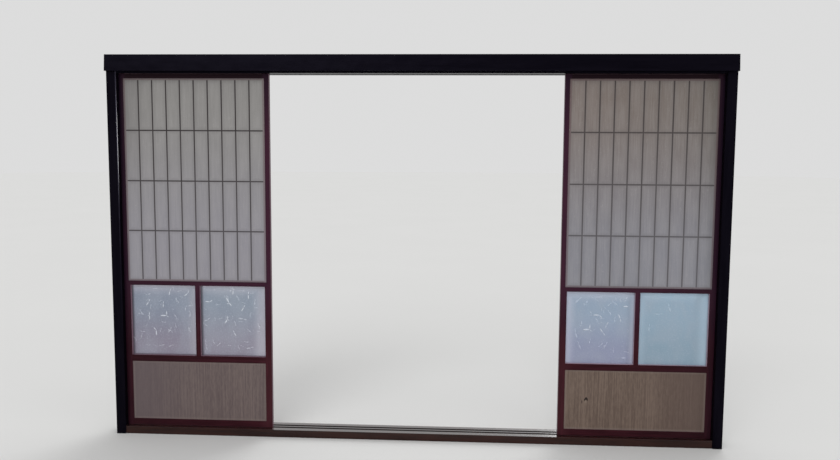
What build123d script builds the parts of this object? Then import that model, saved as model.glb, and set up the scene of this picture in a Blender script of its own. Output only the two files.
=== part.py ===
from build123d import *

import os

# A pair of shoji sliding doors in the timber frame that carries them, in millimetres.
# X runs along the opening, Y runs away from the viewer and Z is up. The origin is midway between
# the posts, on the front face of the doors, at the underside of the sill. Both doors stand in the
# front groove, pushed back against the posts, and slide towards each other along X.

# The frame: two posts, a grooved sill, a grooved head track and the casing rail on its face
clear_width = 3515.0
clear_height = 2130.0
post_face = 56.0
post_depth = 132.0
post_arris = 4.0
track_depth = 120.0
sill_thickness = 45.0
head_thickness = 40.0
frame_stub = 12.0
stub_shoulder = 8.0
casing_height = 95.0
casing_step = 10.0
casing_foot = 32.0
casing_crown = 24.0

# The two grooves run parallel in the sill and the head track, a ridge between them
groove_width = 21.0
groove_ridge = 12.0
sill_groove_depth = 3.0
head_groove_depth = 15.0

# How a door sits in its groove
groove_side_gap = 1.0
foot_gap = 0.3
foot_shoulder_gap = 2.5
head_shoulder_gap = 3.0
head_tongue_gap = 2.5
post_gap = 0.5

# Door members, as faces seen from the room; all are door_thickness deep
door_thickness = 30.0
stile_face = 37.5
top_rail_face = 34.5
upper_rail_face = 36.0
lower_rail_face = 38.5
bottom_rail_face = 38.5
glazing_bar_face = 28.0
door_arris = 1.2

# Clear heights of the two lower fields; the lattice takes what is left
pane_height = 431.0
board_height = 359.0

# Mortise and tenon joints of the door members
tenon_length = 25.0
tenon_thickness = 8.0
tenon_setback = 11.5
tenon_shoulder = 9.0
glazing_tenon_length = 11.0

# Lattice bars, halved over and under one another, stub ends let into the members
bar_face = 7.5
bar_depth = 15.0
upright_count = 9
cross_count = 3
stub_length = 6.0
stub_face = 5.5
stub_depth = 9.0

# Paper, pasted over the bars and into a shallow rebate of the members around them
paper_rebate_depth = 1.0
paper_thickness = 0.3
paper_lap = 10.5
paper_edge_gap = 0.4

# Glass panes, laid against a lip from the back and held by mitred beads
glass_lip = 19.0
glass_thickness = 3.0
rebate_width = 8.0
glass_edge_gap = 1.0
bead_round = 3.0

# Low board, held in a groove all round
board_setback = 5.0
board_thickness = 5.5
board_groove_depth = 8.0
board_edge_gap = 1.0

# A flake is missing from the face of the right door's board
chip_width = 17.0
chip_height = 21.0
chip_depth = 0.8
chip_across = 0.155
chip_up = 0.50

# The grooves lie evenly about the middle of the sill, and a door about the front groove
groove_pitch = groove_width + groove_ridge
front_groove_middle = door_thickness / 2
rear_groove_middle = front_groove_middle + groove_pitch
frame_middle = (front_groove_middle + rear_groove_middle) / 2
track_front = frame_middle - track_depth / 2
track_back = frame_middle + track_depth / 2
post_front = frame_middle - post_depth / 2
post_back = frame_middle + post_depth / 2

# Levels of the frame
sill_top = sill_thickness
head_underside = sill_top + clear_height
casing_bottom = head_underside + casing_step
frame_top = casing_bottom + casing_height

# Four doors of this width would just fill the opening, their stiles overlapping twice
door_width = (clear_width + 2 * stile_face) / 4
field_width = door_width - 2 * stile_face

# Levels of a door
foot_level = sill_top - sill_groove_depth + foot_gap
shoulder_low = sill_top + foot_shoulder_gap
board_bottom = shoulder_low + bottom_rail_face
board_top = board_bottom + board_height
pane_bottom = board_top + lower_rail_face
pane_top = pane_bottom + pane_height
lattice_bottom = pane_top + upper_rail_face
shoulder_high = head_underside - head_shoulder_gap
lattice_top = shoulder_high - top_rail_face
crown_level = head_underside + head_groove_depth - head_tongue_gap
tongue_thickness = groove_width - 2 * groove_side_gap

# Lattice pitch
cell_width = (field_width - upright_count * bar_face) / (upright_count + 1)
cell_height = (lattice_top - lattice_bottom - cross_count * bar_face) / (cross_count + 1)
upright_pitch = cell_width + bar_face
cross_pitch = cell_height + bar_face
upright_middles = [stile_face + n * upright_pitch - bar_face / 2 for n in range(1, upright_count + 1)]
cross_middles = [lattice_top - n * cross_pitch + bar_face / 2 for n in range(1, cross_count + 1)]
bar_front = paper_rebate_depth
bar_middle = bar_front + bar_depth / 2

# How near two places count as one when an edge is picked
same_place = 0.01


def block(x_range, y_range, z_range):
    """A box between three pairs of limits."""
    lows = [min(r) for r in (x_range, y_range, z_range)]
    sizes = [abs(r[1] - r[0]) for r in (x_range, y_range, z_range)]
    return Pos(*lows) * Box(*sizes, align=(Align.MIN, Align.MIN, Align.MIN))


def along_x(profile_points, x_range):
    """A member that runs along X, from the (y, z) corners of its section."""
    section = Plane.YZ * make_face(Polyline(*profile_points, close=True))
    return Pos(min(x_range), 0, 0) * extrude(section, abs(x_range[1] - x_range[0]))


def centred(middle, size):
    """The limits of a size laid evenly about a middle."""
    return (middle - size / 2, middle + size / 2)


def upright_edges_at(shape, x):
    """The upright edges of a shape at one X."""
    return [e for e in shape.edges().filter_by(Axis.Z) if abs(e.center().X - x) < same_place]


def track_profile(near_z, far_z, groove_depth):
    """Section of the sill or head track: a plank with two grooves cut in its near face."""
    inward = 1 if far_z > near_z else -1
    bed = near_z + inward * groove_depth
    points = [(track_front, near_z)]
    for middle in (front_groove_middle, rear_groove_middle):
        low, high = centred(middle, groove_width)
        points += [(low, near_z), (low, bed), (high, bed), (high, near_z)]
    points += [(track_back, near_z), (track_back, far_z), (track_front, far_z)]
    return points


def frame_sill():
    half = clear_width / 2
    plank = along_x(track_profile(sill_top, 0, sill_groove_depth), (-half, half))
    return plank + sill_stubs()


def frame_head_track():
    half = clear_width / 2
    top = head_underside + head_thickness
    plank = along_x(track_profile(head_underside, top, head_groove_depth), (-half, half))
    return plank + head_stubs()


def sill_stubs():
    """The sill goes into the posts below its grooves, open at the underside."""
    return end_stubs(0, sill_top - sill_groove_depth)


def head_stubs():
    """The head track goes into the posts above its grooves, with a shoulder at its top."""
    top = head_underside + head_thickness
    return end_stubs(head_underside + head_groove_depth, top - stub_shoulder)


def end_stubs(low, high):
    """The stubs at both ends of the sill or head track, let into the posts."""
    half = clear_width / 2
    left = block((-half - frame_stub, -half), (track_front, track_back), (low, high))
    right = block((half, half + frame_stub), (track_front, track_back), (low, high))
    return left + right


def frame_post(side):
    """A post with housings for the stubs and a chamfered arris beside the opening."""
    inner = side * clear_width / 2
    post = block((inner, inner + side * post_face), (post_front, post_back), (0, frame_top))
    post = chamfer(upright_edges_at(post, inner), post_arris)
    return post - sill_stubs() - head_stubs()


def frame_head_casing(posts):
    """The casing rail: thicker at its foot, notched over the posts, flat against the head track."""
    half = clear_width / 2 + post_face
    section = [
        (track_front, casing_bottom),
        (track_front - casing_foot, casing_bottom),
        (track_front - casing_crown, frame_top),
        (track_front, frame_top),
    ]
    return along_x(section, (-half, half)) - posts


def tongued_ends(stock):
    """Cuts the running tongues: a door keeps its full thickness only between its shoulders."""
    tongue = centred(front_groove_middle, tongue_thickness)
    cutters = []
    for low, high in ((foot_level, shoulder_low), (shoulder_high, crown_level)):
        for y_range in ((0, tongue[0]), (tongue[1], door_thickness)):
            cutters.append(block((0, door_width), y_range, (low, high)))
    return stock - cutters


def paper_area(grow):
    """Limits of the pasted paper, or with some growth of the rebate that it lies in."""
    lap = paper_lap + grow
    x_range = (stile_face - lap, door_width - stile_face + lap)
    return x_range, (lattice_bottom - lap, lattice_top + lap)


def paper_rebate():
    x_range, z_range = paper_area(0)
    return block(x_range, (0, paper_rebate_depth), z_range)


def pane_openings():
    """The X limits of the two glazed openings, left and right of the glazing bar."""
    bar = centred(door_width / 2, glazing_bar_face)
    return ((stile_face, bar[0]), (bar[1], door_width - stile_face))


def glass_rebates():
    """What is cut away behind the lip, around both panes."""
    cuts = []
    for low, high in pane_openings():
        cuts.append(
            block(
                (low - rebate_width, high + rebate_width),
                (glass_lip, door_thickness),
                (pane_bottom - rebate_width, pane_top + rebate_width),
            )
        )
    return cuts


def board_slot():
    depth = board_groove_depth
    return block(
        (stile_face - depth, door_width - stile_face + depth),
        (board_setback, board_setback + board_thickness),
        (board_bottom - depth, board_top + depth),
    )


def rail_levels():
    """Bottom and top of each rail, the outer two with their tongues."""
    return {
        "bottom_rail": (foot_level, board_bottom),
        "lower_middle_rail": (board_top, pane_bottom),
        "upper_middle_rail": (pane_top, lattice_bottom),
        "top_rail": (lattice_top, crown_level),
    }


def tenon_levels(name):
    """A tenon stands back from both edges of its rail; beside a tongue, from the shoulder."""
    low, high = rail_levels()[name]
    if name == "bottom_rail":
        low = shoulder_low
    if name == "top_rail":
        high = shoulder_high
    return (low + tenon_shoulder, high - tenon_shoulder)


def rail_tenons(name):
    """Both tenons of a rail, which also cut the mortises of the stiles."""
    y_range = (tenon_setback, tenon_setback + tenon_thickness)
    right_edge = door_width - stile_face
    ends = ((stile_face - tenon_length, stile_face), (right_edge, right_edge + tenon_length))
    return [block(x_range, y_range, tenon_levels(name)) for x_range in ends]


def upright_stubs():
    """Both stub ends of every upright bar, above and below the lattice."""
    y_range = centred(bar_middle, stub_depth)
    stubs = []
    for middle in upright_middles:
        low = block(centred(middle, stub_face), y_range, (lattice_bottom - stub_length, lattice_bottom))
        high = block(centred(middle, stub_face), y_range, (lattice_top, lattice_top + stub_length))
        stubs.append((low, high))
    return stubs


def cross_stubs():
    """Both stub ends of every cross bar, left and right of the lattice."""
    y_range = centred(bar_middle, stub_depth)
    right_edge = door_width - stile_face
    stubs = []
    for middle in cross_middles:
        left = block((stile_face - stub_length, stile_face), y_range, centred(middle, stub_face))
        right = block((right_edge, right_edge + stub_length), y_range, centred(middle, stub_face))
        stubs.append((left, right))
    return stubs


def glazing_bar_tenons():
    """The stub tenons of the glazing bar, into the two middle rails."""
    x_range = centred(door_width / 2, glazing_bar_face - 2 * rebate_width)
    y_range = (tenon_setback, tenon_setback + tenon_thickness)
    low = block(x_range, y_range, (pane_bottom - glazing_tenon_length, pane_bottom))
    high = block(x_range, y_range, (pane_top, pane_top + glazing_tenon_length))
    return [low, high]


def door_stile(side):
    """A stile at the left (side 0) or right (side 1) edge, with every groove and mortise."""
    x_low = side * (door_width - stile_face)
    stock = block((x_low, x_low + stile_face), (0, door_thickness), (foot_level, crown_level))
    outer = x_low + side * stile_face
    stile = tongued_ends(chamfer(upright_edges_at(stock, outer), door_arris))
    cuts = [paper_rebate(), board_slot(), *glass_rebates()]
    for name in rail_levels():
        cuts += rail_tenons(name)
    for pair in cross_stubs():
        cuts += pair
    return stile - cuts


def door_rail(name):
    """A rail between the stiles, with its tenons, grooves and mortises."""
    stock = block((stile_face, door_width - stile_face), (0, door_thickness), rail_levels()[name])
    cuts = [paper_rebate(), board_slot(), *glass_rebates()]
    if name == "upper_middle_rail":
        cuts += [low for low, high in upright_stubs()]
    if name == "top_rail":
        cuts += [high for low, high in upright_stubs()]
    if "middle" in name:
        cuts += glazing_bar_tenons()
    return tongued_ends(stock) - cuts + rail_tenons(name)


def glazing_bar():
    """The short bar between the panes, rebated on both sides at the back."""
    stock = block(centred(door_width / 2, glazing_bar_face), (0, door_thickness), (pane_bottom, pane_top))
    return stock - glass_rebates() + glazing_bar_tenons()


def halving(upright, cross, of_upright):
    """The notch at one crossing. Front and back change places from crossing to crossing."""
    upright_keeps_front = (upright + cross) % 2 == 0
    notch_at_back = upright_keeps_front if of_upright else not upright_keeps_front
    y_range = (bar_middle, bar_front + bar_depth) if notch_at_back else (bar_front, bar_middle)
    return block(
        centred(upright_middles[upright], bar_face),
        y_range,
        centred(cross_middles[cross], bar_face),
    )


def upright_bar(n):
    stock = block(
        centred(upright_middles[n], bar_face),
        (bar_front, bar_front + bar_depth),
        (lattice_bottom, lattice_top),
    )
    notches = [halving(n, cross, True) for cross in range(cross_count)]
    return stock - notches + list(upright_stubs()[n])


def cross_bar(n):
    stock = block(
        (stile_face, door_width - stile_face),
        (bar_front, bar_front + bar_depth),
        centred(cross_middles[n], bar_face),
    )
    notches = [halving(upright, n, False) for upright in range(upright_count)]
    return stock - notches + list(cross_stubs()[n])


def paper_sheet():
    """One sheet over the whole lattice, its back on the bars and on the floor of the rebate."""
    x_range, z_range = paper_area(-paper_edge_gap)
    return block(x_range, (paper_rebate_depth - paper_thickness, paper_rebate_depth), z_range)


def glass_pane(n):
    low, high = pane_openings()[n]
    reach = rebate_width - glass_edge_gap
    return block(
        (low - reach, high + reach),
        (glass_lip, glass_lip + glass_thickness),
        (pane_bottom - reach, pane_top + reach),
    )


def bead_frame(n):
    """Four beads mitred into a ring behind the glass, rounded towards the pane."""
    low, high = pane_openings()[n]
    y_range = (glass_lip + glass_thickness, door_thickness)
    ring = block(
        (low - rebate_width, high + rebate_width),
        y_range,
        (pane_bottom - rebate_width, pane_top + rebate_width),
    )
    ring -= block((low, high), y_range, (pane_bottom, pane_top))
    inner = [
        e
        for e in ring.edges().filter_by(Plane.XZ)
        if abs(e.center().Y - door_thickness) < same_place
        and low - same_place <= e.center().X <= high + same_place
        and pane_bottom - same_place <= e.center().Z <= pane_top + same_place
    ]
    return fillet(inner, bead_round)


def low_board(chipped):
    """The thin board, its edges in the groove; a flake is missing from the chipped one."""
    reach = board_groove_depth - board_edge_gap
    board = block(
        (stile_face - reach, door_width - stile_face + reach),
        (board_setback, board_setback + board_thickness),
        (board_bottom - reach, board_top + reach),
    )
    if not chipped:
        return board
    x_mid = stile_face + chip_across * field_width
    z_mid = board_bottom + chip_up * board_height
    outline = [(-0.50, -0.10), (-0.22, 0.44), (0.18, 0.50), (0.50, 0.08), (0.26, -0.28), (-0.16, -0.50)]
    corners = [(x_mid + u * chip_width, z_mid + v * chip_height) for u, v in outline]
    face = make_face(Polyline(*[(x, board_setback, z) for x, z in corners], close=True))
    return board - extrude(face, chip_depth, dir=(0, 1, 0))


def door_parts(chipped):
    """Every piece of one door by name, its left edge at X 0."""
    parts = {
        "left_stile": door_stile(0),
        "right_stile": door_stile(1),
        "glazing_bar": glazing_bar(),
        "paper": paper_sheet(),
        "low_board": low_board(chipped),
    }
    for name in rail_levels():
        parts[name] = door_rail(name)
    for n in range(upright_count):
        parts[f"lattice_upright_{n + 1}"] = upright_bar(n)
    for n in range(cross_count):
        parts[f"lattice_cross_{n + 1}"] = cross_bar(n)
    for n, side in enumerate(("left", "right")):
        parts[f"{side}_pane"] = glass_pane(n)
        parts[f"{side}_bead_frame"] = bead_frame(n)
    return parts


def frame_parts():
    posts = {"frame_left_post": frame_post(-1), "frame_right_post": frame_post(1)}
    return {
        **posts,
        "frame_sill": frame_sill(),
        "frame_head_track": frame_head_track(),
        "frame_head_casing": frame_head_casing(list(posts.values())),
    }


def write(name, shape):
    shape.label = name
    export_step(shape, f"parts/{name}.step")


os.makedirs("parts", exist_ok=True)
for name, shape in frame_parts().items():
    write(name, shape)

door_left_edges = {
    "left": -clear_width / 2 + post_gap,
    "right": clear_width / 2 - post_gap - door_width,
}
for side, left_edge in door_left_edges.items():
    for name, shape in door_parts(chipped=(side == "right")).items():
        write(f"{side}_door_{name}", Pos(left_edge, 0, 0) * shape)
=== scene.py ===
import math

import bpy
import numpy as np
from mathutils import Matrix, Vector


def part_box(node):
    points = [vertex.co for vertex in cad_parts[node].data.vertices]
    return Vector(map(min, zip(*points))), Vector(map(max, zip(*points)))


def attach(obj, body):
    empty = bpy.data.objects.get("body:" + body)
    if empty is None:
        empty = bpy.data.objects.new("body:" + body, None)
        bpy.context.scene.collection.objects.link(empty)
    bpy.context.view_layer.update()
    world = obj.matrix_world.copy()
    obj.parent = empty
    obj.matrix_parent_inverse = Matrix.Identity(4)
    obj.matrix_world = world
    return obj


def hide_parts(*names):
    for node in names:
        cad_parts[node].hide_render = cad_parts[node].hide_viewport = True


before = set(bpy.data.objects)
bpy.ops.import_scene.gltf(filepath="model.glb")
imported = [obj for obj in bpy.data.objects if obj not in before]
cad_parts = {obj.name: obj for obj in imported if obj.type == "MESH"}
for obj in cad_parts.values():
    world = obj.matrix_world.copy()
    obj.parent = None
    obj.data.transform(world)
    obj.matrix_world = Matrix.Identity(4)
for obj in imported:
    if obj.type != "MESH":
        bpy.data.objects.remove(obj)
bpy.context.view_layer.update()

# The viewpoint
# A visitor's eye, a little right of the middle and 1.7 m up, looking slightly down into the
# opening. The picture is 840 by 460 dots.
picture_width = 840
focal_dots = 718.4
middle_drop_dots = -15.1
sensor = 36.0
eye_place = Vector((0.2457, -4.1966, 1.7208))
turn, tilt, lean = 0.0510, -0.08635, -0.0062
nearest, farthest = 0.05, 200.0

view = bpy.data.cameras.new("eye")
view.sensor_width = sensor
view.lens = focal_dots * sensor / picture_width
view.shift_y = middle_drop_dots / picture_width
view.clip_start, view.clip_end = nearest, farthest
eye = bpy.data.objects.new("eye", view)
bpy.context.scene.collection.objects.link(eye)
eye.matrix_world = (
    Matrix.Translation(eye_place)
    @ Matrix.Rotation(turn, 4, "Z")
    @ Matrix.Rotation(tilt, 4, "X")
    @ Matrix.Rotation(lean, 4, "Y")
    @ Matrix.Rotation(math.radians(90), 4, "X")
)
bpy.context.scene.camera = eye
bpy.context.scene.view_settings.view_transform = "Standard"

# The studio
# A pale floor under an even pale sky, with a soft key light from the front, one like it from
# behind, and a low narrow light from the right that draws the gloss on the posts' arrises.
sky_level = 0.72
lights = {
    "key_sun": {"from": (-0.35, -1.0, 0.75), "level": 0.9, "softness": 40.0},
    "back_sun": {"from": (0.45, 1.0, 0.80), "level": 1.0, "softness": 40.0},
    "side_sun": {"from": (0.90, -0.43, 0.02), "level": 0.7, "softness": 6.0},
}
floor_reach, floor_heart, floor_drop = 60.0, 0.02, 0.0004
floor_turns, floor_rings = 48, 24
mottle_size = 1.7


def tone(red, green, blue):
    """A colour as it looks on screen, 0 to 255 each, turned into the linear colour of paint."""
    levels = np.array([red, green, blue]) / 255.0
    linear = np.where(levels <= 0.04045, levels / 12.92, ((levels + 0.055) / 1.055) ** 2.4)
    return tuple(float(level) for level in linear) + (1.0,)


class Flow:
    """A number that changes over a surface: one output socket. Sums, products and remainders
    written with it add the Math nodes that work them out."""

    def __init__(self, tree, socket):
        self.tree, self.socket = tree, socket

    def maths(self, operation, *terms):
        step = self.tree.nodes.new("ShaderNodeMath")
        step.operation = operation
        for port, term in zip(step.inputs, terms):
            feed(self.tree, port, term)
        return Flow(self.tree, step.outputs[0])

    def __add__(self, other):
        return self.maths("ADD", self, other)

    def __radd__(self, other):
        return self.maths("ADD", other, self)

    def __sub__(self, other):
        return self.maths("SUBTRACT", self, other)

    def __rsub__(self, other):
        return self.maths("SUBTRACT", other, self)

    def __mul__(self, other):
        return self.maths("MULTIPLY", self, other)

    def __rmul__(self, other):
        return self.maths("MULTIPLY", other, self)

    def __mod__(self, other):
        return self.maths("FLOORED_MODULO", self, other)

    def __abs__(self):
        return self.maths("ABSOLUTE", self)

    def larger(self, other):
        return self.maths("MAXIMUM", self, other)

    def smaller(self, other):
        return self.maths("MINIMUM", self, other)


def feed(tree, port, value):
    """Links a Flow to a socket, or sets a plain number or colour on the socket itself."""
    if isinstance(value, Flow):
        tree.links.new(value.socket, port)
    else:
        port.default_value = value


class Finish:
    """One finish being mixed: a material whose nodes are made by node()."""

    def __init__(self, name):
        self.material = bpy.data.materials.new(name)
        self.material.use_nodes = True
        self.tree = self.material.node_tree
        self.tree.nodes.clear()

    def node(self, kind, settings=None, sockets=None, output=0):
        """Adds a node of a kind, sets its settings, then its sockets, and hands out an output."""
        made = self.tree.nodes.new(kind)
        for name, setting in (settings or {}).items():
            setattr(made, name, setting)
        for name, value in (sockets or {}).items():
            feed(self.tree, made.inputs[name], value)
        return Flow(self.tree, made.outputs[output])

    def place(self):
        """The point on the object, and its three numbers."""
        point = self.node("ShaderNodeTexCoord", output="Object")
        parts = self.node("ShaderNodeSeparateXYZ", sockets={0: point})
        nodes = parts.socket.node.outputs
        return point, [Flow(self.tree, nodes[n]) for n in range(3)]

    def noise(self, point, stretch, size, detail=2.0, distortion=0.0, shift=(0.0, 0.0, 0.0)):
        """Cloudy noise with features of a size in metres, drawn out along an axis by stretch."""
        drawn = self.node("ShaderNodeMapping", sockets={
            "Vector": point, "Location": shift, "Scale": tuple(1.0 / s for s in stretch)})
        return self.node("ShaderNodeTexNoise", {"noise_dimensions": "3D"}, {
            "Vector": drawn, "Scale": 1.0 / size, "Detail": detail, "Distortion": distortion})

    def ease(self, value, low, high, to_low=0.0, to_high=1.0):
        """Runs smoothly from to_low to to_high while value goes from low to high."""
        return self.node("ShaderNodeMapRange", {"interpolation_type": "SMOOTHSTEP"}, {
            "Value": value, "From Min": low, "From Max": high,
            "To Min": to_low, "To Max": to_high})

    def between(self, share, first, second):
        """A colour that is the first at share 0 and the second at share 1."""
        return self.node("ShaderNodeMix", {"data_type": "RGBA"}, {
            "Factor": share, 6: first, 7: second}, output=2)

    def bump(self, height, depth, strength=1.0):
        """A surface direction bent by a height of 0 to 1, that is depth metres at 1."""
        return self.node("ShaderNodeBump", sockets={
            "Height": height, "Distance": depth, "Strength": strength})

    def surface(self, shader):
        """The finished material, whose surface is a shader."""
        end = self.tree.nodes.new("ShaderNodeOutputMaterial")
        feed(self.tree, end.inputs["Surface"], shader)
        return self.material


def put_in(name, points, faces):
    """A smooth mesh object from an array of points and an array or list of faces."""
    mesh = bpy.data.meshes.new(name)
    mesh.from_pydata(points.reshape(-1, 3).tolist(), [], [list(face) for face in faces])
    mesh.polygons.foreach_set("use_smooth", np.full(len(mesh.polygons), True))
    mesh.update()
    made = bpy.data.objects.new(name, mesh)
    bpy.context.scene.collection.objects.link(made)
    return made


def grid_faces(rows, columns):
    """Four-sided faces over rows by columns of points, numbered row by row."""
    number = np.arange(rows * columns).reshape(rows, columns)
    return np.stack([number[:-1, :-1], number[:-1, 1:], number[1:, 1:], number[1:, :-1]],
                    axis=-1).reshape(-1, 4)


for name, light in lights.items():
    lamp = bpy.data.lights.new(name, "SUN")
    lamp.energy = light["level"]
    lamp.angle = math.radians(light["softness"])
    lamp_object = bpy.data.objects.new(name, lamp)
    bpy.context.scene.collection.objects.link(lamp_object)
    lamp_object.rotation_mode = "QUATERNION"
    lamp_object.rotation_quaternion = Vector(light["from"]).to_track_quat("Z", "Y")
sky = bpy.data.worlds.new("sky")
bpy.context.scene.world = sky
sky.use_nodes = True
sky.node_tree.nodes["Background"].inputs["Color"].default_value = (1.0, 1.0, 1.0, 1.0)
sky.node_tree.nodes["Background"].inputs["Strength"].default_value = sky_level

# Floor: the angle and the share out from the heart are the two parameters, and the distance out
# is the share squared times the reach.
angle, share = np.meshgrid(np.linspace(0, 2 * np.pi, floor_turns + 1),
                           np.linspace(floor_heart, 1, floor_rings), indexing="ij")
ring = share ** 2 * floor_reach
ground = np.stack([ring * np.cos(angle), ring * np.sin(angle), np.full_like(ring, -floor_drop)],
                  axis=-1)
floor = put_in("studio_floor", ground, grid_faces(floor_turns + 1, floor_rings)[:, ::-1])
floor_paint = Finish("studio_floor_paint")
mottle = floor_paint.noise(floor_paint.place()[0], (1, 1, 1), mottle_size)
matt_paint = floor_paint.node("ShaderNodeBsdfPrincipled", sockets={
    "Base Color": floor_paint.between(mottle, tone(211, 211, 210), tone(214, 214, 213)),
    "Roughness": 1.0, "Specular IOR Level": 0.0})
floor.data.materials.append(floor_paint.surface(matt_paint))

# The sill
# A broad flat timber under the doors, oiled and polished by feet, with two shallow grooves that
# the doors run in. The grain runs along it, and the groove beds are dark with old wax and dust.
along_x, along_z = (14.0, 1.0, 1.0), (1.0, 1.0, 14.0)
ring_share, grain_spread, pore_relief, rough_spread = 0.62, (0.30, 0.70), 0.6, 0.16
groove_lines, groove_half, groove_lip = (0.015, 0.048), 0.0105, (-0.0004, 0.0002)
# Depths below the top at which the polish is whole, and the wax begins, is whole and ends.
polish_full, wax_from, wax_full, bed_full, bed_none = 0.0002, 0.0004, 0.0012, 0.004, 0.006
wax_tone, wax_roughness = tone(20, 13, 13), 0.45


def timber(finish, stretch, dark, light, ring_size, pore_size, rough, gloss_level, relief):
    """Grain along one axis: broad rings and finer, longer pores drawn out along it, as colour,
    roughness and relief. Hands out the point's three numbers, and the sockets of the shader, so
    that a piece can change any of them."""
    point, parts = finish.place()
    rings = finish.noise(point, stretch, ring_size, detail=3.0, distortion=0.3)
    pore_stretch = tuple(s * s / 8 + 1 if s > 1 else 1.0 for s in stretch)
    pores = finish.noise(point, pore_stretch, pore_size, detail=4.0, shift=(0.3, 0.7, 0.1))
    share = finish.ease(rings * ring_share + pores * (1 - ring_share), *grain_spread)
    height = pores * pore_relief + rings * (1 - pore_relief)
    return parts, {
        "Base Color": finish.between(share, dark, light),
        "Roughness": rough + (pores - 0.5) * rough_spread,
        "Specular IOR Level": gloss_level,
        "Normal": finish.bump(height, relief, 0.5),
    }


def dress(names, material):
    """Gives CAD nodes their finish, on the slots that their meshes have."""
    for name in names:
        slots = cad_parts[name].data.materials
        for n in range(len(slots)):
            slots[n] = material


sill_finish = Finish("polished_sill_timber")
(_, deep, up), sockets = timber(
    sill_finish, along_x, dark=tone(28, 13, 11), light=tone(49, 25, 20), ring_size=0.020,
    pore_size=0.0022, rough=0.22, gloss_level=0.26, relief=0.0003)
sill_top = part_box("frame_sill")[1].z
in_groove = 1.0 - sill_finish.ease(
    abs(deep - groove_lines[0]).smaller(abs(deep - groove_lines[1])),
    groove_half + groove_lip[0], groove_half + groove_lip[1])
sunk = in_groove * sill_finish.ease(up, sill_top - wax_from, sill_top - wax_full) * (
    sill_finish.ease(up, sill_top - bed_none, sill_top - bed_full))
trodden = sill_finish.ease(up, sill_top - wax_full, sill_top - polish_full)
sockets["Base Color"] = sill_finish.between(sunk, sockets["Base Color"], wax_tone)
sockets["Roughness"] = sockets["Roughness"] + sunk * wax_roughness
sockets["Coat Weight"] = trodden
sockets["Coat Roughness"], sockets["Coat IOR"] = 0.08, 1.85
dress(["frame_sill"], sill_finish.surface(
    sill_finish.node("ShaderNodeBsdfPrincipled", sockets=sockets)))

# The head track, the posts and the casing rail
# Squared timber stained nearly black and rubbed with lacquer. The posts stand on the sill ends
# and carry the track, and the casing is notched over them. Only the left post's inner face has
# a glossier streak, from shoulder height up, left by the lacquer cloth.
black_gloss = tone(200, 192, 232)
post_front, post_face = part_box("frame_left_post")[0].y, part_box("frame_left_post")[1].x
plane_mark, plane_relief = 0.09, 0.003
# The streak's widths at two heights, how far its edge wanders, and the heights between which it
# fades in and out.
streak_narrows, streak_widths = (2.10, 1.75), (0.016, 0.033)
streak_wander, streak_edge = 0.03, 0.004
streak_foot, streak_head = (1.38, 1.50), (2.02, 1.86)
streak_foot_gloss, streak_head_gloss = (0.0, 0.5), (0.2, 1.0)
for finish_name, names, stretch in (
        ("black_timber_across", ["frame_head_track", "frame_head_casing"], along_x),
        ("black_timber_upright", ["frame_left_post", "frame_right_post"], along_z)):
    black = Finish(finish_name)
    (across, deep, up), sockets = timber(
        black, stretch, dark=tone(3, 2, 6), light=tone(9, 7, 14), ring_size=0.024,
        pore_size=0.0020, rough=0.24, gloss_level=0.062, relief=0.0003)
    planed = black.noise(black.place()[0], (1, 1, 1), plane_mark, detail=1.0)
    sockets["Normal"] = black.node("ShaderNodeBump", sockets={
        "Height": planed, "Distance": plane_relief, "Strength": 0.6, "Normal": sockets["Normal"]})
    sockets["Specular Tint"] = black_gloss
    if stretch == along_z:
        streak_depth = black.ease(up, *streak_narrows, *streak_widths) + (
            (planed - 0.5) * streak_wander)
        inner_face = black.ease(across, post_face - 0.0010, post_face - 0.0003) * (
            black.ease(across, 0.0, post_face / 2))
        streak = black.ease(deep - post_front, streak_depth, streak_depth - streak_edge)
        streak = streak * black.ease(up, *streak_foot, *streak_foot_gloss)
        streak = streak * black.ease(up, *streak_head, *streak_head_gloss)
        sockets["Coat Weight"] = inner_face * streak
        sockets["Coat Roughness"] = 0.12
    dress(names, black.surface(black.node("ShaderNodeBsdfPrincipled", sockets=sockets)))

# The door members
# Slim stiles and rails of dark red-brown stained wood, tenoned together and satin lacquered.
# Their sides are painted paler than their faces, as painted light, palest beside the panes.
# Painted shade darkens them aloft under the head and beside the posts. They are rubbed smoother
# where hands push the doors.
sides = ("left", "right")
red_gloss = tone(255, 196, 214)
upright_members = ["left_stile", "right_stile", "glazing_bar"]
level_members = ["bottom_rail", "lower_middle_rail", "upper_middle_rail", "top_rail"]
door_front, door_back = (corner.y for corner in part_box("left_door_left_stile"))
glass_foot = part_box("left_door_lower_middle_rail")[1].z
glass_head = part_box("left_door_upper_middle_rail")[0].z
face_skin, side_light_share = 0.0013, 0.85
push_height, push_reach, push_polish = 0.95, (0.35, 0.05), 0.08
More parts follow.
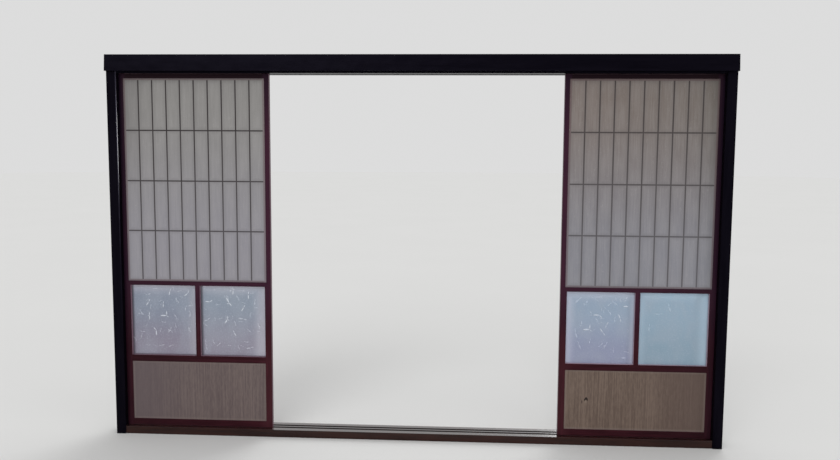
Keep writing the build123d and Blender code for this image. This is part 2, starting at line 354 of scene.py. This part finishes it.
# Heights, and breadths out from the middle of the opening, between which a tone comes in, and
# the share it comes to.
upper_heights, upper_tone, upper_share = (0.5, 0.95), tone(60, 40, 62), 0.35
# Painted light: the members are paler low down near the doorway, as if lit from the opening.
doorway_breadth, doorway_heights = (0.95, 0.90), (0.75, 0.30)
doorway_light_tone, doorway_light_share = tone(98, 58, 64), 0.13
# Painted shade: darker aloft under the head, and beside the posts, more so higher up.
head_shade_heights, post_shade_breadth, post_shade_growth = (1.75, 2.18), (1.685, 1.757), (0.3, 2.1)
post_shade_low, post_shade_gain = 0.42, 0.53
rail_breadth, rail_post_shade = (1.10, 1.70), (0.05, 0.34)
glass_inner, glass_outer = (0.870, 0.875), (1.750, 1.745)
# Painted light on the members' sides, palest beside the panes and more so on the right.
pane_light_left, pane_light_right = tone(136, 110, 124), tone(172, 146, 160)
for finish_name, members, stretch, side_light_tone, head_shade, painted_shade_tone in (
        ("door_timber_upright", upright_members, along_z,
         tone(88, 62, 72), 0.72, tone(18, 11, 24)),
        ("door_timber_across", level_members, along_x,
         tone(108, 88, 94), 0.97, tone(14, 8, 12))):
    red = Finish(finish_name)
    (across, deep, up), sockets = timber(
        red, stretch, dark=tone(36, 11, 16), light=tone(56, 22, 29), ring_size=0.016,
        pore_size=0.0016, rough=0.38, gloss_level=0.13, relief=0.0003)
    out = abs(across)
    handled = red.ease(abs(up - push_height), *push_reach)
    sockets["Roughness"] = sockets["Roughness"] - handled * push_polish
    colour = red.between(
        red.ease(up, *upper_heights) * upper_share, sockets["Base Color"], upper_tone)
    # Painted light near the doorway.
    lit_by_doorway = red.ease(out, *doorway_breadth) * red.ease(up, *doorway_heights)
    colour = red.between(lit_by_doorway * doorway_light_share, colour, doorway_light_tone)
    # Painted shade beside the posts, and under the head.
    shaded_by_post = red.ease(out, *post_shade_breadth) * (
        post_shade_low + red.ease(up, *post_shade_growth) * post_shade_gain)
    if members is level_members:
        shaded_by_post = shaded_by_post.larger(red.ease(out, *rail_breadth, *rail_post_shade))
    head_shaded = red.ease(up, *head_shade_heights) * head_shade
    colour = red.between(head_shaded.larger(shaded_by_post), colour, painted_shade_tone)
    # Painted light on the sides, palest beside the panes.
    lit_beside_glass = red.ease(up, glass_foot - 0.003, glass_foot - 0.001) * (
        red.ease(up, glass_head + 0.003, glass_head + 0.001))
    lit_beside_glass = lit_beside_glass * red.ease(out, *glass_inner) * red.ease(out, *glass_outer)
    pane_light_side = red.between(red.ease(across, -0.1, 0.1), pane_light_left, pane_light_right)
    lit_side_colour = red.between(lit_beside_glass, side_light_tone, pane_light_side)
    into_side = (deep - door_front).smaller(door_back - deep)
    on_side = red.ease(into_side, face_skin * 0.6, face_skin)
    sockets["Base Color"] = red.between(on_side * side_light_share, colour, lit_side_colour)
    sockets["Specular Tint"] = red_gloss
    dress([f"{side}_door_{member}" for side in sides for member in members],
          red.surface(red.node("ShaderNodeBsdfPrincipled", sockets=sockets)))

# The lattice
# Thin bars of the same stained wood behind the paper, nine upright and three across, halved
# over and under one another with their stub ends let into the stiles and rails.
upright_count, cross_count = 9, 3
for finish_name, kind, count, stretch in (
        ("lattice_upright_wood", "lattice_upright", upright_count, along_z),
        ("lattice_cross_wood", "lattice_cross", cross_count, along_x)):
    bars = Finish(finish_name)
    _, sockets = timber(
        bars, stretch, dark=tone(44, 20, 24), light=tone(70, 38, 40), ring_size=0.009,
        pore_size=0.0014, rough=0.48, gloss_level=0.2, relief=0.0002)
    dress([f"{side}_door_{kind}_{n}" for side in sides for n in range(1, count + 1)],
          bars.surface(bars.node("ShaderNodeBsdfPrincipled", sockets=sockets)))

# The bead frames
# Slim rounded strips of the same stained wood behind each pane. They are mitred at the corners
# and pinned into the rebate, and they hold the glass in.
beads = Finish("bead_wood")
_, sockets = timber(
    beads, (2.0, 1.0, 2.0), dark=tone(44, 19, 25), light=tone(68, 34, 38), ring_size=0.012,
    pore_size=0.0015, rough=0.42, gloss_level=0.2, relief=0.0002)
dress([f"{side}_door_{hand}_bead_frame" for side in sides for hand in sides],
      beads.surface(beads.node("ShaderNodeBsdfPrincipled", sockets=sockets)))

# The bead pins
# Small steel pins with domed heads, three along each side of a bead frame. They are driven
# through the beads from behind, and the heads stand a little proud of the wood.
pin_radius, pin_dome, pin_inset, pin_sink = 0.0017, 0.0007, 0.0026, 0.0001
pin_rings, pin_turns = 5, 12
pin_shares = np.array([0.12, 0.5, 0.88])
pin_steel = Finish("pin_steel")
dulled = pin_steel.noise(pin_steel.place()[0], (1, 1, 1), 0.0012)
pin_material = pin_steel.surface(pin_steel.node("ShaderNodeBsdfPrincipled", sockets={
    "Base Color": pin_steel.between(dulled, tone(92, 84, 76), tone(146, 138, 126)),
    "Metallic": 0.9, "Roughness": 0.35 + dulled * 0.25}))


def pin_heads(centres, back):
    """Domed heads standing on a plane. Round a head the angle is one parameter, and the share
    out from its middle the other: the height is the dome times one less the share squared, and
    a flat underside just inside the bead closes it."""
    turn_round = np.arange(pin_turns) * 2 * np.pi / pin_turns
    share = np.linspace(1.0, 0.0, pin_rings + 1)[:-1]
    spread = pin_radius * share[:, None]
    x = centres[:, 0, None, None] + spread * np.cos(turn_round)
    z = centres[:, 1, None, None] + spread * np.sin(turn_round)
    y = np.broadcast_to(back + pin_dome * (1 - share[:, None] ** 2) - pin_sink, x.shape)
    skin = np.stack([x, y, z], axis=-1).reshape(len(centres), -1, 3)
    top = np.stack([centres[:, 0], np.full(len(centres), back + pin_dome), centres[:, 1]], axis=-1)
    number = np.arange(pin_rings * pin_turns).reshape(pin_rings, pin_turns)
    after = np.roll(number, -1, axis=1)
    belt = np.stack([number[:-1], number[1:], after[1:], after[:-1]], axis=-1).reshape(-1, 4)
    crown = np.stack([number[-1], np.full(pin_turns, number.size), after[-1]], axis=-1)
    step = np.arange(len(centres))[:, None, None] * (number.size + 1)
    faces = [face for part in (belt, crown, number[:1])
             for face in (part[None] + step).reshape(-1, part.shape[1]).tolist()]
    return np.concatenate([skin, top[:, None]], axis=1), faces


for side in sides:
    spots = []
    for hand in sides:
        low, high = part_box(f"{side}_door_{hand}_bead_frame")
        run_x = low.x + pin_shares * (high.x - low.x)
        run_z = low.z + pin_shares * (high.z - low.z)
        spots += [(x, z) for x in run_x for z in (low.z + pin_inset, high.z - pin_inset)]
        spots += [(x, z) for z in run_z for x in (low.x + pin_inset, high.x - pin_inset)]
    points, faces = pin_heads(np.array(spots), high.y)
    pins = put_in(f"{side}_door_bead_pins", points, faces)
    pins.data.materials.append(pin_material)
    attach(pins, f"{side}_door")

# The low boards
# One thin straight-grained cedar board in a groove under the panes of each door, left bare and
# now brown with age, and paler within a little of its edges. The right board has lost a flake
# near its left side.
board_looks = {
    "left": {"dark": tone(89, 77, 77), "light": tone(108, 95, 92), "shade": tone(92, 81, 84),
             "shaded_side": -1.0},
    "right": {"dark": tone(89, 74, 66), "light": tone(113, 97, 87), "shade": tone(85, 70, 65),
              "shaded_side": 1.0},
}
board_hidden = 0.007
shade_spread, shade_share = (-0.2, 1.1), 0.75
edge_pale_reach, edge_pale_tone, edge_pale_share = (0.016, 0.002), tone(134, 122, 116), 0.30
flake_across, flake_up, flake_skin = 0.155, 0.50, (0.0014, 0.0010)
bare_tone, bare_share = tone(138, 124, 112), 0.40
tick_tone, tick_share = tone(48, 36, 34), 0.7
broken_tone, broken_share = tone(24, 15, 13), 0.97
for side in sides:
    look = board_looks[side]
    low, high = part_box(f"{side}_door_low_board")
    middle, half = (low + high) / 2, (high - low) / 2 - Vector((board_hidden, 0, board_hidden))
    board = Finish(f"{side}_board_cedar")
    point, (across, deep, up) = board.place()
    lines = board.noise(point, (1.0, 1.0, 60.0), 0.0065)
    fine = board.noise(point, (1.0, 1.0, 90.0), 0.0018)
    bands = board.noise(point, (1.0, 1.0, 10.0), 0.075, detail=1.0)
    flecks = board.noise(point, (1.0, 1.0, 4.0), 0.008, shift=(0.4, 0.0, 0.2))
    share = board.ease(lines * 0.42 + fine * 0.18 + bands * 0.14 + flecks * 0.26, 0.36, 0.64)
    colour = board.between(share, look["dark"], look["light"])
    away = (across - middle.x) * (look["shaded_side"] / half.x)
    colour = board.between(
        board.ease(away, *shade_spread, 0.0, shade_share), colour, look["shade"])
    to_edge = (half.x - abs(across - middle.x)).smaller(half.z - abs(up - middle.z))
    colour = board.between(
        board.ease(to_edge, *edge_pale_reach, 0.0, edge_pale_share), colour, edge_pale_tone)
    if side == "right":
        # The scar: a dark ridge of torn fibres, a bare patch under it, and a short dark tick to
        # its left, each with a ragged edge.
        flake_x = low.x + board_hidden + flake_across * 2 * half.x
        flake_z = low.z + board_hidden + flake_up * 2 * half.z
        ragged = (board.noise(point, (1.0, 1.0, 1.0), 0.005) - 0.5) * 0.010
        torn = (board.noise(point, (1.0, 1.0, 4.0), 0.0035) - 0.5) * 0.014
        aside = abs(across - flake_x + torn * 0.5) + ragged
        on_face = board.ease(deep, low.y + flake_skin[0], low.y + flake_skin[1])
        to_ridge = up - (flake_z + 0.008) + aside * 0.9 + torn
        broken = board.ease(abs(to_ridge), 0.0085, 0.0050) * board.ease(aside, 0.012, 0.009)
        bare = board.ease(abs(to_ridge + 0.017), 0.009, 0.005) * board.ease(aside, 0.007, 0.004)
        tick = board.ease(abs(across - flake_x + 0.024) + abs(up - flake_z + 0.014) * 0.35
                          + ragged * 0.5, 0.006, 0.003)
        colour = board.between(bare * on_face * bare_share, colour, bare_tone)
        colour = board.between(tick * on_face * tick_share, colour, tick_tone)
        colour = board.between(broken * on_face * broken_share, colour, broken_tone)
    planed_cedar = board.node("ShaderNodeBsdfPrincipled", sockets={
        "Base Color": colour,
        "Roughness": 0.62 + (fine - 0.5) * 0.2,
        "Specular IOR Level": 0.25,
        "Normal": board.bump(lines * 0.6 + fine * 0.4, 0.0005, 0.6)})
    dress([f"{side}_door_low_board"], board.surface(planed_cedar))

# The paper
# One sheet of mulberry paper pasted over the bars and a finger's breadth on to the wood round
# them. Drying has drawn it tight over the bars, so each cell is a very shallow dish. The bars
# show in its colour as dark lines, partly paste stain and partly painted shadow, with painted
# shade round them and a painted shadow line at the wood's edge.
paper_thickness, dish_depth = 0.0003, 0.0006
steps_across, steps_up = 8, 12
fibre_tone, fibre_share = tone(176, 173, 172), 0.16
hair_tone, hair_share, hair_width = tone(190, 187, 184), 0.12, 0.012
bar_shade_tone, bar_shade_share, bar_shade_reach = tone(80, 76, 78), 0.17, 0.024
lap_tone, lap_share, lap_blur = tone(100, 74, 80), 0.45, (-0.0006, 0.0008)
wood_edge_shadow_tone, wood_edge_shadow_share, wood_edge_shadow_width = tone(92, 78, 82), 0.35, (0.0022, 0.0004)
bar_shadow_tone, bar_shadow_patchiness = tone(52, 47, 48), 0.3
post_shade_reach, shade_drift_reach = 0.16, 0.82
# Bars is how strongly they show at the foot and at the head. The last four keys are painted
# shade: how far it dims the sheet beside the post, more there at the head, and across its head,
# and its tone.
paper_looks = {
    "left": {
        "top": tone(134, 132, 130), "foot": tone(140, 138, 145), "bars": (0.78, 1.0),
        "bar_blur": 0.0006, "outward": -1.0, "shaded_by_post": 0.0, "by_post_aloft": 0.24,
        "drift": 0.0, "shade_tone": tone(60, 54, 58)},
    "right": {
        "top": tone(119, 109, 104), "foot": tone(130, 130, 137), "bars": (0.64, 0.89),
        "bar_blur": 0.0028, "outward": 1.0, "shaded_by_post": 0.07, "by_post_aloft": 0.05,
        "drift": 0.15, "shade_tone": tone(48, 62, 58)},
}
luck = np.random.default_rng(7)


def stations(low, high, edges, steps):
    """Places along one side of the sheet: the two ends, each bar's two edges, and steps between
    the edges. With each comes how deep the dish is there, from 0 at a bar to 1 in mid cell, as
    four times the share gone times the share left."""
    starts, ends = np.array(edges[0::2]), np.array(edges[1::2])
    share = np.linspace(0.0, 1.0, steps + 1)
    inner = starts[:, None] + (ends - starts)[:, None] * share
    depth = np.broadcast_to(4 * share * (1 - share), inner.shape)
    cell = np.broadcast_to(np.arange(len(starts))[:, None], inner.shape)
    places = np.concatenate([[low], inner.ravel(), [high]])
    return (places, np.concatenate([[0.0], depth.ravel(), [0.0]]),
            np.concatenate([[0], cell.ravel(), [len(starts) - 1]]))


for side in sides:
    low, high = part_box(f"{side}_door_paper")
    uprights = [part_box(f"{side}_door_lattice_upright_{n}") for n in range(1, upright_count + 1)]
    crosses = [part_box(f"{side}_door_lattice_cross_{n}") for n in range(cross_count, 0, -1)]
    wood_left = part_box(f"{side}_door_left_stile")[1].x
    wood_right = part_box(f"{side}_door_right_stile")[0].x
    wood_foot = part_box(f"{side}_door_upper_middle_rail")[1].z
    wood_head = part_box(f"{side}_door_top_rail")[0].z
    x_edges = [wood_left] + [e.x for box in uprights for e in box] + [wood_right]
    z_edges = [wood_foot] + [e.z for box in crosses for e in box] + [wood_head]
    xs, x_dish, x_cell = stations(low.x, high.x, x_edges, steps_across)
    zs, z_dish, z_cell = stations(low.z, high.z, z_edges, steps_up)
    # Sheet: the place across and the place up are the two parameters; the depth is the product
    # of the two dishes, the upward one flattened by its fourth root, times a depth for each cell.
    pull = luck.uniform(0.5, 1.0, (upright_count + 1, cross_count + 1))
    depth = dish_depth * pull[x_cell][:, z_cell] * x_dish[:, None] * z_dish[None, :] ** 0.25
    sheet = np.stack([np.broadcast_to(xs[:, None], depth.shape), low.y + depth,
                      np.broadcast_to(zs[None, :], depth.shape)], axis=-1)
    paper = put_in(f"{side}_door_paper_sheet", sheet, grid_faces(len(xs), len(zs))[:, ::-1])
    thicken = paper.modifiers.new("thickness", "SOLIDIFY")
    thicken.thickness, thicken.offset = paper_thickness, -1.0

    look = paper_looks[side]
    washi = Finish(f"{side}_mulberry_paper")
    point, (across, _, up) = washi.place()
    pitch_x = (uprights[-1][0].x - uprights[0][0].x) / (upright_count - 1)
    pitch_z = (crosses[-1][0].z - crosses[0][0].z) / (cross_count - 1)
    first_x = (uprights[0][0].x + uprights[0][1].x) / 2
    first_z = (crosses[0][0].z + crosses[0][1].z) / 2
    half_bar = (uprights[0][1].x - uprights[0][0].x) / 2
    to_upright = abs((across - first_x + pitch_x / 2) % pitch_x - pitch_x / 2)
    to_cross = abs((up - first_z + pitch_z / 2) % pitch_z - pitch_z / 2)
    middle_x, middle_z = (wood_left + wood_right) / 2, (wood_foot + wood_head) / 2
    past_wood = (abs(across - middle_x) - (wood_right - wood_left) / 2).larger(
        abs(up - middle_z) - (wood_head - wood_foot) / 2)
    over_wood = washi.ease(past_wood, *lap_blur)
    # Painted shadow line along the wood's edge.
    wood_edge_shadow = washi.ease(abs(past_wood), *wood_edge_shadow_width)
    # The bars as dark lines, partly paste stain and partly painted shadow, with painted shade
    # round them.
    to_bar = to_upright.smaller(to_cross)
    bar_shadow = washi.ease(to_bar, half_bar + look["bar_blur"], half_bar - look["bar_blur"])
    bar_shadow = bar_shadow * washi.ease(past_wood, 0.0, -0.001)
    bar_shaded = washi.ease(to_bar, half_bar + bar_shade_reach, half_bar)
    streaks = washi.noise(point, (1.0, 1.0, 22.0), 0.007, detail=3.0)
    clouds = washi.noise(point, (1.0, 1.0, 2.0), 0.09)
    hairs = washi.noise(point, (1.0, 1.0, 5.0), 0.02, distortion=1.5)
    hair = washi.ease(abs(hairs - 0.5), hair_width, 0.0)
    rise = washi.ease(up, low.z + 0.1, high.z - 0.1)
    sheet_tone = washi.between(rise, look["foot"], look["top"])
    light_share = washi.ease(streaks * 0.55 + clouds * 0.45, 0.32, 0.68)
    colour = washi.between(light_share * fibre_share, sheet_tone, fibre_tone)
    colour = washi.between(hair * hair_share, colour, hair_tone)
    aloft = washi.ease(up, low.z, high.z)
    # Painted shade beside the post, more so at the head, and across the head of the right door.
    to_post = (wood_right - wood_left) / 2 - (across - middle_x) * look["outward"]
    high_up = aloft * aloft
    dim = washi.ease(to_post, post_shade_reach, 0.0) * (
        look["shaded_by_post"] + high_up * look["by_post_aloft"])
    dim = dim + washi.ease(to_post, shade_drift_reach, 0.0) * high_up * look["drift"]
    colour = washi.between(dim, colour, look["shade_tone"])
    colour = washi.between(bar_shaded * bar_shade_share, colour, bar_shade_tone)
    colour = washi.between(over_wood * lap_share, colour, lap_tone)
    colour = washi.between(wood_edge_shadow * wood_edge_shadow_share, colour, wood_edge_shadow_tone)
    bar_shadow_seen = washi.ease(up, low.z, high.z, *look["bars"]) + (clouds - 0.5) * bar_shadow_patchiness
    colour = washi.between(bar_shadow * bar_shadow_seen, colour, bar_shadow_tone)
    face = washi.node("ShaderNodeBsdfPrincipled", sockets={
        "Base Color": colour, "Roughness": 0.85, "Specular IOR Level": 0.15,
        "Normal": washi.bump(streaks * 0.5 + hairs * 0.5, 0.0002, 0.5)})
    paper.data.materials.append(washi.surface(face))
    dress([f"{side}_door_paper"], washi.material)
    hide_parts(f"{side}_door_paper")
    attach(paper, f"{side}_door")

# The panes
# Two squares of frosted glass in each door, cast with sprigs of bamboo leaves that stand up a
# little and catch the light. The outer pane of the right door is a nearly plain replacement.

# A sprig is its place across and up the pane from 0 to 1, its size, and the headings of its
# leaves in degrees, the longest first.
bold_sprigs = {
    ("left", "left"): [
        (0.866, 0.882, 1.0, (219, 70)), (0.530, 0.559, 1.35, (180, 88, 325)),
        (0.255, 0.752, 1.0, (235, 65)), (0.483, 0.727, 0.8, (265, 85)),
        (0.262, 0.559, 1.0, (270, 92, 190)), (0.362, 0.348, 1.15, (270, 135)),
        (0.879, 0.354, 0.7, (100, 320, 210)), (0.590, 0.907, 0.9, (255, 70)),
        (0.356, 0.938, 0.6, (20, 160))],
    ("left", "right"): [
        (0.432, 0.759, 1.25, (118, 307, 220)), (0.500, 0.938, 1.0, (265, 95, 40)),
        (0.730, 0.877, 1.0, (275, 80)), (0.135, 0.765, 1.0, (175, 35)),
        (0.655, 0.691, 0.9, (240, 60)), (0.405, 0.519, 1.1, (235, 85, 330)),
        (0.507, 0.327, 0.8, (300, 110))],
    ("right", "left"): [
        (0.354, 0.471, 1.35, (183, 88, 315)), (0.488, 0.674, 1.2, (180, 315)),
        (0.800, 0.628, 1.0, (115, 280)), (0.598, 0.535, 0.8, (60, 250)),
        (0.549, 0.430, 1.1, (125, 310)), (0.915, 0.797, 1.1, (180, 172))],
    ("right", "right"): [],
}
dim_sprigs = {
    ("left", "left"): [
        (0.900, 0.596, 0.9, (260, 110)), (0.584, 0.360, 0.9, (235, 70)),
        (0.134, 0.273, 0.7, (250, 80)), (0.140, 0.955, 0.6, (0, 150)),
        (0.700, 0.780, 0.8, (300, 140)), (0.120, 0.580, 0.8, (350, 170))],
    ("left", "right"): [
        (0.277, 0.728, 0.6, (180, 20)), (0.095, 0.506, 0.9, (200, 40)),
        (0.650, 0.530, 1.1, (175, 340)), (0.757, 0.117, 1.0, (190, 20)),
        (0.060, 0.180, 0.7, (95, 260)), (0.830, 0.778, 0.8, (265, 80)),
        (0.176, 0.198, 0.6, (300, 100)), (0.580, 0.820, 0.8, (130, 280))],
    ("right", "left"): [
        (0.183, 0.884, 1.1, (225, 45)), (0.451, 0.919, 0.9, (10, 170)),
        (0.598, 0.267, 0.9, (240, 60)), (0.146, 0.420, 1.2, (285, 100)),
        (0.200, 0.260, 1.0, (290, 110)), (0.900, 0.080, 1.0, (180, 170)),
        (0.634, 0.720, 0.8, (300, 130)), (0.700, 0.850, 0.9, (320, 150))],
    ("right", "right"): [
        (0.430, 0.800, 1.1, (290, 100)), (0.300, 0.700, 0.9, (180, 10)),
        (0.150, 0.520, 1.0, (270, 80))],
}
# Painted light at an edge and painted shade are each a share and how far they reach in, in
# metres. Milk is how far the bold and the dim sprigs go towards white.
pane_looks = {
    ("left", "left"): {
        "top": tone(141, 150, 168), "foot": tone(147, 141, 158), "lit_doorway": (0.34, 0.065),
        "lit_post": (0.0, 0.035), "lit_tone": tone(228, 224, 234),
        "edge_shade_post": (0.65, 0.017), "edge_shade_foot": 0.55, "milk": (0.70, 0.31)},
    ("left", "right"): {
        "top": tone(147, 158, 174), "foot": tone(152, 148, 164), "lit_doorway": (0.46, 0.095),
        "lit_post": (0.0, 0.035), "lit_tone": tone(228, 224, 234),
        "edge_shade_post": (0.65, 0.021), "edge_shade_foot": 0.55, "milk": (0.78, 0.34)},
    ("right", "left"): {
        "top": tone(156, 174, 195), "foot": tone(152, 158, 185), "lit_doorway": (0.42, 0.065),
        "lit_post": (0.32, 0.035), "lit_tone": tone(224, 226, 240),
        "edge_shade_post": (0.20, 0.008), "edge_shade_foot": 0.0, "milk": (0.58, 0.22)},
    ("right", "right"): {
        "top": tone(154, 178, 197), "foot": tone(143, 168, 186), "lit_doorway": (0.27, 0.055),
        "lit_post": (0.46, 0.085), "lit_tone": tone(203, 229, 246),
        "edge_shade_post": (0.20, 0.008), "edge_shade_foot": 0.0, "milk": (0.0, 0.14)},
}
lit_head, lit_lip, foot_shade_reach = (0.30, 0.075), (0.22, 0.018), 0.008
drift_tone, drift_share, drift_spread = tone(176, 184, 196), 0.25, (0.35, 0.68)
frost_tone, frost_share, frost_spread = tone(204, 210, 220), 0.22, (0.48, 0.72)
edge_shade_tone, milk_tone, pane_clearness = tone(50, 38, 48), tone(214, 219, 226), 0.25
leaf_length, leaf_height = 0.029, 0.0009
leaf_widths = {"bold": 0.0066, "dim": 0.0090}
leaf_shares = np.array([1.0, 0.72, 0.45])
leaf_steps, leaf_round = 8, 8
lip_cover = 0.007
spare_count, spare_margin, spare_sizes, spare_spread = 30, (0.04, 0.96), (0.35, 0.85), 150
draw = np.random.default_rng(21)


def leaves(starts, headings, lengths, widths, front):
    """Pointed leaves lying on a pane. Along a leaf, the half width is its greatest times the sine
    of half a turn of the share gone, raised to 0.7; round it, the section is a flat oval whose
    upper half stands leaf_height proud. Every leaf is one closed skin with a point at each end."""
    share = np.linspace(0.0, 1.0, leaf_steps + 1)[1:-1]
    turn_round = np.arange(leaf_round) * 2 * np.pi / leaf_round
    swell = np.sin(np.pi * share) ** 0.7
    heading = headings[:, None, None]
    reach = (lengths[:, None] * share)[:, :, None]
    side_step = (widths[:, None] * swell)[:, :, None] * np.cos(turn_round)
    proud = swell[:, None] * np.maximum(np.sin(turn_round), -0.2) * leaf_height
    x = starts[:, 0, None, None] + reach * np.cos(heading) - side_step * np.sin(heading)
    z = starts[:, 1, None, None] + reach * np.sin(heading) + side_step * np.cos(heading)
    y = np.broadcast_to(front - proud, x.shape)
    skin = np.stack([x, y, z], axis=-1).reshape(len(starts), -1, 3)
    ends = starts + lengths[:, None] * np.stack([np.cos(headings), np.sin(headings)], axis=-1)
    tips = np.stack([starts, ends], axis=1)
    tips = np.stack([tips[..., 0], np.full(tips.shape[:2], front), tips[..., 1]], axis=-1)
    points = np.concatenate([skin, tips], axis=1)
    rows = leaf_steps - 1
    number = np.arange(rows * leaf_round).reshape(rows, leaf_round)
    after = np.roll(number, -1, axis=1)
    belt = np.stack([number[:-1], after[:-1], after[1:], number[1:]], axis=-1).reshape(-1, 4)
    first, last = rows * leaf_round, rows * leaf_round + 1
    near_tip = np.stack([np.full(leaf_round, first), after[0], number[0]], axis=-1)
    far_tip = np.stack([number[-1], after[-1], np.full(leaf_round, last)], axis=-1)
    step = np.arange(len(starts))[:, None, None] * (last + 1)
    return points, [face for part in (belt, near_tip, far_tip)
                    for face in (part[None] + step).reshape(-1, part.shape[1]).tolist()]


def spray(name, spots, leaf_width, low, high):
    """One piece of all the leaves of a list of sprigs. A sprig's leaves start at its place, and
    a leaf that would pass the edge of the pane is left out."""
    rows = [(u, v, size * share, heading) for u, v, size, headings in spots
            for share, heading in zip(leaf_shares, headings)]
    across, up, size, heading = np.array(rows).T
    starts = np.stack([low.x + across * (high.x - low.x), low.z + up * (high.z - low.z)], axis=-1)
    headings = np.radians(heading)
    ends = starts + (size * leaf_length)[:, None] * np.stack(
        [np.cos(headings), np.sin(headings)], axis=-1)
    inside = (ends > [low.x, low.z]).all(axis=1) & (ends < [high.x, high.z]).all(axis=1)
    points, faces = leaves(starts[inside], headings[inside], (size * leaf_length)[inside],
                           (size * leaf_width / 2)[inside], low.y)
    return put_in(name, points, faces)


def frosted(name, look, low, high, outward, clear_share, milk):
    """Glass that is rough on its face: a milky colour, and a clear share that lets light through
    from behind. Painted light makes its edges paler at the head, the doorway and the post, and
    painted shade darkens them at the foot and the post, which is the way outward. Milk is how far
    it goes towards white."""
    glass = Finish(name)
    point, (across, _, up) = glass.place()
    middle, half = (low + high) / 2, (high - low) / 2
    frost = glass.noise(point, (1.0, 1.0, 1.0), 0.009, detail=3.0)
    drift = glass.noise(point, (1.0, 1.0, 1.6), 0.11, distortion=0.6)
    colour = glass.between(glass.ease(up, low.z + 0.05, high.z - 0.1), look["foot"], look["top"])
    colour = glass.between(glass.ease(drift, *drift_spread) * drift_share, colour, drift_tone)
    colour = glass.between(glass.ease(frost, *frost_spread) * frost_share, colour, frost_tone)
    aside = (across - middle.x) * outward
    # Painted light along the edges by the doorway, the head and the post.
    share, reach = look["lit_doorway"]
    lit = (glass.ease(half.x + aside, reach, 0.002) * share).larger(
        glass.ease(high.z - up, lit_head[1], 0.004) * lit_head[0])
    share, reach = look["lit_post"]
    lit = lit.larger(glass.ease(half.x - aside, reach, 0.004) * share)
    lit = lit + glass.ease(high.z - up, lit_lip[1], 0.005) * lit_lip[0]
    # Painted shade along the edges by the post and the foot.
    share, reach = look["edge_shade_post"]
    edge_shaded = (glass.ease(half.x - aside, reach, 0.003) * share).larger(
        glass.ease(up - low.z, foot_shade_reach, 0.001) * look["edge_shade_foot"])
    colour = glass.between(lit, colour, look["lit_tone"])
    colour = glass.between(edge_shaded, colour, edge_shade_tone)
    colour = glass.between(milk, colour, milk_tone)
    return glass.surface(glass.node("ShaderNodeBsdfPrincipled", sockets={
        "Base Color": colour, "Roughness": 0.42 + frost * 0.15, "IOR": 1.5,
        "Transmission Weight": clear_share, "Specular IOR Level": 0.35,
        "Normal": glass.bump(frost, 0.0004, 0.5)}))


for (side, hand), look in pane_looks.items():
    pane = f"{side}_door_{hand}_pane"
    low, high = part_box(pane)
    cover = Vector((lip_cover, 0, lip_cover))
    low, high = low + cover, high - cover
    outward = -1.0 if side == "left" else 1.0
    dress([pane], frosted(f"{pane}_frosted_glass", look, low, high, outward,
                          clear_share=pane_clearness, milk=0.0))
    # Spare small sprigs fall anywhere, and more of them near the head. The plain pane has none,
    # but its numbers are drawn all the same.
    spare = [(u, v ** 0.7, size, (heading, heading + spare_spread)) for u, v, size, heading in zip(
        draw.uniform(*spare_margin, spare_count), draw.uniform(*spare_margin, spare_count),
        draw.uniform(*spare_sizes, spare_count), draw.uniform(0, 360, spare_count))]
    if not bold_sprigs[side, hand]:
        spare = []
    for kind, spots, milk in (
            ("bold", bold_sprigs[side, hand], look["milk"][0]),
            ("dim", dim_sprigs[side, hand] + spare, look["milk"][1])):
        if spots:
            sprigs = spray(f"{pane}_{kind}_sprigs", spots, leaf_widths[kind], low, high)
            sprigs.data.materials.append(frosted(
                f"{pane}_{kind}_relief", look, low, high, outward, clear_share=0.0, milk=milk))
            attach(sprigs, f"{side}_door")
